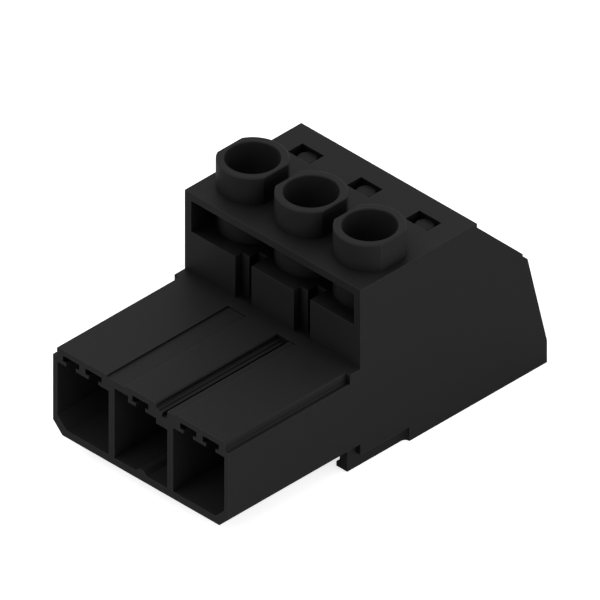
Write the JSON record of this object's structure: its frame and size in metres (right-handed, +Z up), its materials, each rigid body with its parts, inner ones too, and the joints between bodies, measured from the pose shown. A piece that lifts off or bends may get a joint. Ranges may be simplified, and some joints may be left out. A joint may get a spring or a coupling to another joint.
{
  "type": "pcb plug connector",
  "caption": "Pluggable screw-clamp cable connector: an open hood with blade contacts mates with a board header, wires enter behind, and screws are reached through collars on top.",
  "frame": {"origin": "middle of the footprint, on the plane that the plug stands on", "axes": "+X across the poles to the right seen from the mating side, +Y from the mating hood to the wire side, +Z up along the screws"},
  "size_m": [0.0228, 0.0414, 0.0231],
  "materials": {
    "housing_plastic": "matte glass-filled nylon, moulded, black",
    "tinned_copper": "stamped copper alloy with a satin tin plating",
    "yoke_steel": "folded steel strip, zinc plated",
    "screw_steel": "machined steel, zinc plated"
  },
  "bodies": {
    "plug_body": {"housing": "housing_plastic", "contact_1": "tinned_copper", "contact_2": "tinned_copper", "contact_3": "tinned_copper"},
    "screw_1": {"clamp_screw_1": "screw_steel"},
    "yoke_1": {"clamp_yoke_1": "yoke_steel"},
    "screw_2": {"clamp_screw_2": "screw_steel"},
    "yoke_2": {"clamp_yoke_2": "yoke_steel"},
    "screw_3": {"clamp_screw_3": "screw_steel"},
    "yoke_3": {"clamp_yoke_3": "yoke_steel"}
  },
  "joints": [
    {"name": "screw_turn_1", "type": "hinge", "parent": "plug_body", "child": "screw_1", "pos_m": [-0.00762, 0.00146, 0], "axis": [0, 0, 1], "range_deg": [-2880, 0]},
    {"name": "yoke_lift_1", "type": "slide", "parent": "plug_body", "child": "yoke_1", "axis": [0, 0, 1], "range_m": [0, 0.004]},
    {"name": "screw_turn_2", "type": "hinge", "parent": "plug_body", "child": "screw_2", "pos_m": [0, 0.00146, 0], "axis": [0, 0, 1], "range_deg": [-2880, 0]},
    {"name": "yoke_lift_2", "type": "slide", "parent": "plug_body", "child": "yoke_2", "axis": [0, 0, 1], "range_m": [0, 0.004]},
    {"name": "screw_turn_3", "type": "hinge", "parent": "plug_body", "child": "screw_3", "pos_m": [0.00762, 0.00146, 0], "axis": [0, 0, 1], "range_deg": [-2880, 0]},
    {"name": "yoke_lift_3", "type": "slide", "parent": "plug_body", "child": "yoke_3", "axis": [0, 0, 1], "range_m": [0, 0.004]}
  ],
  "couplings": [
    {"joint": "screw_turn_1", "follows": "yoke_lift_1", "rad_per_m": -12566},
    {"joint": "screw_turn_2", "follows": "yoke_lift_2", "rad_per_m": -12566},
    {"joint": "screw_turn_3", "follows": "yoke_lift_3", "rad_per_m": -12566}
  ]
}
